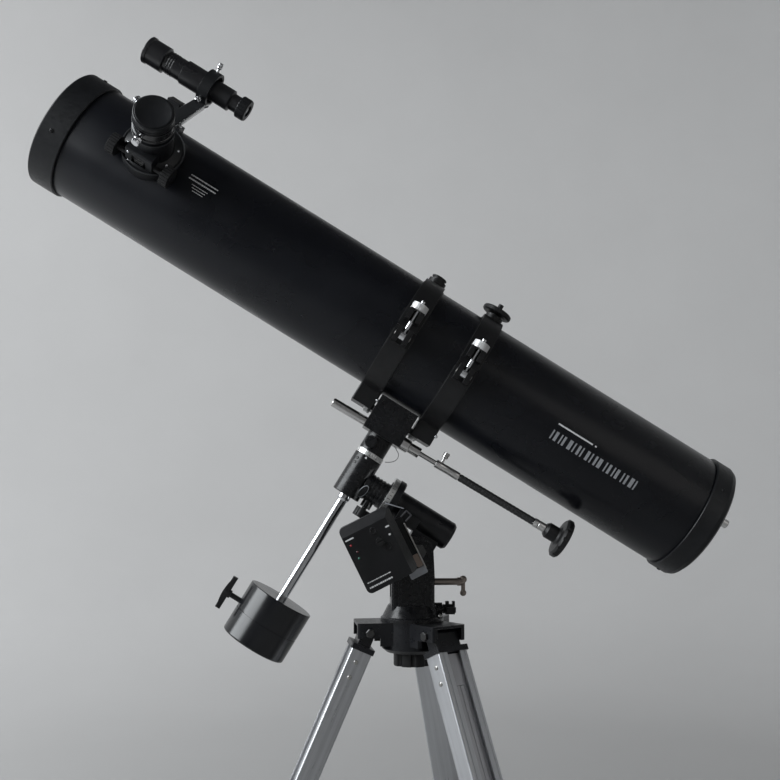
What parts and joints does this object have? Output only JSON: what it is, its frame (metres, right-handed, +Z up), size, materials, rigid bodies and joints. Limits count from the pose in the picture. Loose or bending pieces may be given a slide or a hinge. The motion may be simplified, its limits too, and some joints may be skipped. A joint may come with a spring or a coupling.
{
  "type": "newtonian reflector telescope",
  "caption": "Newtonian reflector tube in hinged rings on a German equatorial mount with counterweight, drive box and slow-motion cable, on an extending aluminium tripod.",
  "frame": {"origin": "on the floor below the azimuth axis, at the middle of the three feet", "axes": "+Z up; the tube lies in the XZ plane and points to -X and up; the eyepiece side faces -Y"},
  "size_m": [0.8297, 0.6292, 1.3662],
  "materials": {
    "black_plastic": "moulded, fine grain",
    "black_paint_alloy": "semi-gloss black paint on light alloy",
    "leg_alloy": "brushed, clear",
    "leg_alloy_inner": "brushed, darker",
    "foot_rubber": "matt",
    "steel": "machined",
    "chrome": "polished",
    "circle_silver": "satin with engraved marks",
    "gloss_black": "glossy moulding",
    "weight_black": "gloss black enamel on iron",
    "tube_black": "gloss black enamel",
    "mirror_glass": "aluminised glass",
    "cable_black": "ribbed sheath",
    "nut_silver": "knurled"
  },
  "bodies": {
    "tripod": {"tripod_hub": "black_plastic"},
    "center_knob": {"hub_center_knob": "black_plastic"},
    "leg_1": {"leg_1_rail": "leg_alloy", "leg_1_fittings": "black_plastic"},
    "leg_1_extension": {"leg_1_lower": "leg_alloy_inner", "leg_1_foot": "foot_rubber"},
    "leg_1_lock": {"leg_1_lock_knob": "black_plastic"},
    "leg_1_arm": {"leg_1_brace": "steel"},
    "leg_2": {"leg_2_rail": "leg_alloy", "leg_2_fittings": "black_plastic"},
    "leg_2_extension": {"leg_2_lower": "leg_alloy_inner", "leg_2_foot": "foot_rubber"},
    "leg_2_lock": {"leg_2_lock_knob": "black_plastic"},
    "leg_2_arm": {"leg_2_brace": "steel"},
    "leg_3": {"leg_3_rail": "leg_alloy", "leg_3_fittings": "black_plastic"},
    "leg_3_extension": {"leg_3_lower": "leg_alloy_inner", "leg_3_foot": "foot_rubber"},
    "leg_3_lock": {"leg_3_lock_knob": "black_plastic"},
    "leg_3_arm": {"leg_3_brace": "steel"},
    "spreader": {"spreader_tray": "black_plastic"},
    "azimuth": {"azimuth_base": "black_paint_alloy", "latitude_pivot_bolt": "steel"},
    "azimuth_lock": {"azimuth_lock_knob": "black_plastic"},
    "latitude_screw": {"latitude_bolt": "steel"},
    "polar_head": {"ra_housing": "black_paint_alloy", "drive_box": "gloss_black"},
    "polar_circle": {"ra_setting_circle": "circle_silver"},
    "dial": {"drive_dial": "black_plastic"},
    "ra_axis": {"dec_housing": "black_paint_alloy", "counterweight_rod": "chrome"},
    "ra_lock": {"ra_lock_knob": "black_plastic"},
    "weight": {"counterweight": "weight_black"},
    "weight_lock": {"counterweight_knob": "black_plastic"},
    "dec_circle": {"dec_setting_circle": "circle_silver"},
    "dec_axis": {"dec_head": "black_paint_alloy", "ring_cradle": "black_paint_alloy", "ring_swing_bolts": "chrome"},
    "dec_lock": {"dec_lock_knob": "gloss_black"},
    "dec_worm": {"worm_shaft": "chrome", "slow_motion_cable": "cable_black", "slow_motion_knob": "black_plastic"},
    "ring_front": {"ring_front_upper": "black_paint_alloy"},
    "ring_rear": {"ring_rear_upper": "black_paint_alloy"},
    "clamp_front": {"ring_front_nut": "nut_silver"},
    "clamp_rear": {"ring_rear_nut": "nut_silver"},
    "piggyback": {"piggyback_knob": "black_plastic"},
    "tube": {"main_tube": "tube_black", "tube_front_ring": "black_plastic", "mirror_cell": "black_plastic", "primary_mirror": "mirror_glass", "collimation_knobs": "chrome", "spider": "black_paint_alloy", "focuser_body": "black_plastic", "finder_bracket": "black_plastic", "finder_tube": "gloss_black"},
    "drawtube": {"focuser_drawtube": "gloss_black"},
    "pinion": {"focuser_pinion": "black_plastic"},
    "eyepiece_piece": {"eyepiece": "black_plastic"},
    "finder_focus": {"finder_eyepiece": "black_plastic"}
  },
  "joints": [
    {"name": "center_knob_turn", "type": "hinge", "parent": "tripod", "child": "center_knob", "pos_m": [0, 0, 0.655], "axis": [0, 0, 1], "range_deg": [-360, 0]},
    {"name": "leg_1_fold", "type": "hinge", "parent": "tripod", "child": "leg_1", "pos_m": [-0.0518, -0.00453, 0.689], "axis": [0.0872, -0.9962, 0], "range_deg": [0, 20]},
    {"name": "leg_1_extend", "type": "slide", "parent": "leg_1", "child": "leg_1_extension", "axis": [-0.4004, -0.035, -0.9157], "range_m": [0, 0.35]},
    {"name": "leg_1_lock_turn", "type": "hinge", "parent": "leg_1", "child": "leg_1_lock", "pos_m": [-0.31528, -0.02758, 0.08649], "axis": [-0.9122, -0.0798, 0.4019], "range_deg": [0, 360]},
    {"name": "leg_1_arm_swing", "type": "hinge", "parent": "leg_1", "child": "leg_1_arm", "pos_m": [-0.12766, -0.01117, 0.46578], "axis": [0.0872, -0.9962, 0], "range_deg": [-55, 0]},
    {"name": "leg_2_fold", "type": "hinge", "parent": "tripod", "child": "leg_2", "pos_m": [0.02983, -0.0426, 0.689], "axis": [0.8192, 0.5736, 0], "range_deg": [0, 20]},
    {"name": "leg_2_extend", "type": "slide", "parent": "leg_2", "child": "leg_2_extension", "axis": [0.2305, -0.3293, -0.9157], "range_m": [0, 0.35]},
    {"name": "leg_2_lock_turn", "type": "hinge", "parent": "leg_2", "child": "leg_2_lock", "pos_m": [0.18153, -0.25925, 0.08649], "axis": [0.5252, -0.7501, 0.4019], "range_deg": [0, 360]},
    {"name": "leg_2_arm_swing", "type": "hinge", "parent": "leg_2", "child": "leg_2_arm", "pos_m": [0.0735, -0.10497, 0.46578], "axis": [0.8192, 0.5736, 0], "range_deg": [-55, 0]},
    {"name": "leg_3_fold", "type": "hinge", "parent": "tripod", "child": "leg_3", "pos_m": [0.02198, 0.04713, 0.689], "axis": [-0.9063, 0.4226, 0], "range_deg": [0, 20]},
    {"name": "leg_3_extend", "type": "slide", "parent": "leg_3", "child": "leg_3_extension", "axis": [0.1699, 0.3643, -0.9157], "range_m": [0, 0.35]},
    {"name": "leg_3_lock_turn", "type": "hinge", "parent": "leg_3", "child": "leg_3_lock", "pos_m": [0.13375, 0.28683, 0.08649], "axis": [0.387, 0.8299, 0.4019], "range_deg": [0, 360]},
    {"name": "leg_3_arm_swing", "type": "hinge", "parent": "leg_3", "child": "leg_3_arm", "pos_m": [0.05416, 0.11614, 0.46578], "axis": [-0.9063, 0.4226, 0], "range_deg": [-55, 0]},
    {"name": "spreader_drop", "type": "slide", "parent": "tripod", "child": "spreader", "axis": [0, 0, 1], "range_m": [-0.065, 0]},
    {"name": "azimuth_turn", "type": "hinge", "parent": "tripod", "child": "azimuth", "pos_m": [0, 0, 0.7], "axis": [0, 0, 1], "continuous": true},
    {"name": "azimuth_lock_turn", "type": "hinge", "parent": "azimuth", "child": "azimuth_lock", "pos_m": [0.036, 0, 0.7125], "axis": [1, 0, 0], "range_deg": [0, 360]},
    {"name": "latitude_tilt", "type": "hinge", "parent": "azimuth", "child": "polar_head", "pos_m": [0.006, 0, 0.78], "axis": [0, 1, 0], "range_deg": [-8, 25]},
    {"name": "latitude_screw_in", "type": "slide", "parent": "azimuth", "child": "latitude_screw", "axis": [-1, 0, 0], "range_m": [-0.0065, 0.016]},
    {"name": "ra_turn", "type": "hinge", "parent": "polar_head", "child": "ra_axis", "pos_m": [-0.0664, 0, 0.8639], "axis": [0.8511, 0, -0.525], "range_deg": [-90, 75]},
    {"name": "ra_circle_slip", "type": "hinge", "parent": "polar_head", "child": "polar_circle", "pos_m": [-0.02895, 0, 0.8408], "axis": [0.8511, 0, -0.525], "continuous": true},
    {"name": "drive_dial_turn", "type": "hinge", "parent": "polar_head", "child": "dial", "pos_m": [-0.04105, -0.075, 0.79478], "axis": [0, -1, 0], "range_deg": [0, 270]},
    {"name": "ra_lock_turn", "type": "hinge", "parent": "ra_axis", "child": "ra_lock", "pos_m": [-0.05655, 0, 0.82845], "axis": [-0.525, 0, -0.8511], "range_deg": [0, 360]},
    {"name": "weight_slide", "type": "slide", "parent": "ra_axis", "child": "weight", "axis": [0.525, 0, 0.8511], "range_m": [0, 0.03]},
    {"name": "weight_lock_turn", "type": "hinge", "parent": "weight", "child": "weight_lock", "pos_m": [-0.20818, 0, 0.7293], "axis": [-0.8511, 0, 0.525], "range_deg": [0, 360]},
    {"name": "dec_circle_slip", "type": "hinge", "parent": "ra_axis", "child": "dec_circle", "pos_m": [-0.0496, 0, 0.89114], "axis": [0.525, 0, 0.8511], "continuous": true},
    {"name": "dec_turn", "type": "hinge", "parent": "ra_axis", "child": "dec_axis", "pos_m": [-0.0454, 0, 0.89794], "axis": [0.525, 0, 0.8511], "continuous": true},
    {"name": "dec_lock_turn", "type": "hinge", "parent": "dec_axis", "child": "dec_lock", "pos_m": [-0.04889, -0.02, 0.90656], "axis": [0, -1, 0], "range_deg": [0, 360]},
    {"name": "dec_worm_turn", "type": "hinge", "parent": "dec_axis", "child": "dec_worm", "pos_m": [-0.03322, -0.012, 0.91769], "axis": [0.8597, 0, -0.5108], "continuous": true},
    {"name": "ring_front_open", "type": "hinge", "parent": "dec_axis", "child": "ring_front", "pos_m": [-0.01066, 0.084, 1.03044], "axis": [-0.8511, 0, 0.525], "range_deg": [0, 2.5]},
    {"name": "clamp_front_back_off", "type": "slide", "parent": "dec_axis", "child": "clamp_front", "axis": [0.525, 0, 0.8511], "range_m": [0, 0.0086]},
    {"name": "ring_rear_open", "type": "hinge", "parent": "dec_axis", "child": "ring_rear", "pos_m": [0.05742, 0.084, 0.98843], "axis": [-0.8511, 0, 0.525], "range_deg": [0, 2.5]},
    {"name": "clamp_rear_back_off", "type": "slide", "parent": "dec_axis", "child": "clamp_rear", "axis": [0.525, 0, 0.8511], "range_m": [0, 0.0086]},
    {"name": "piggyback_turn", "type": "hinge", "parent": "ring_rear", "child": "piggyback", "pos_m": [0.1031, 0, 1.06248], "axis": [0.525, 0, 0.8511], "range_deg": [0, 360]},
    {"name": "tube_roll", "type": "hinge", "parent": "dec_axis", "child": "tube", "pos_m": [0.02338, 0, 1.00944], "axis": [0.8511, 0, -0.525], "continuous": true},
    {"name": "focus_travel", "type": "slide", "parent": "tube", "child": "drawtube", "axis": [0.1622, -0.9511, 0.263], "range_m": [-0.0045, 0.03]},
    {"name": "focus_pinion_turn", "type": "hinge", "parent": "tube", "child": "pinion", "pos_m": [-0.30735, -0.08338, 1.21613], "axis": [0.8511, 0, -0.525], "range_deg": [-55, 345]},
    {"name": "eyepiece_slide", "type": "slide", "parent": "drawtube", "child": "eyepiece_piece", "axis": [0.1622, -0.9511, 0.263], "range_m": [0, 0.032]},
    {"name": "finder_focus_travel", "type": "slide", "parent": "tube", "child": "finder_focus", "axis": [0.8511, 0, -0.525], "range_m": [0, 0.006]}
  ],
  "couplings": [
    {"joint": "leg_1_arm_swing", "follows": "leg_1_fold", "ratio": -2.72},
    {"joint": "leg_2_arm_swing", "follows": "leg_1_fold", "ratio": -2.72},
    {"joint": "leg_2_fold", "follows": "leg_1_fold", "ratio": 1},
    {"joint": "leg_3_arm_swing", "follows": "leg_1_fold", "ratio": -2.72},
    {"joint": "leg_3_fold", "follows": "leg_1_fold", "ratio": 1},
    {"joint": "spreader_drop", "follows": "leg_1_fold", "m_per_rad": -0.1815},
    {"joint": "latitude_screw_in", "follows": "latitude_tilt", "m_per_rad": 0.0355},
    {"joint": "clamp_front_back_off", "follows": "ring_front_open", "m_per_rad": 0.192},
    {"joint": "clamp_rear_back_off", "follows": "ring_rear_open", "m_per_rad": 0.192},
    {"joint": "focus_pinion_turn", "follows": "focus_travel", "rad_per_m": 200}
  ]
}
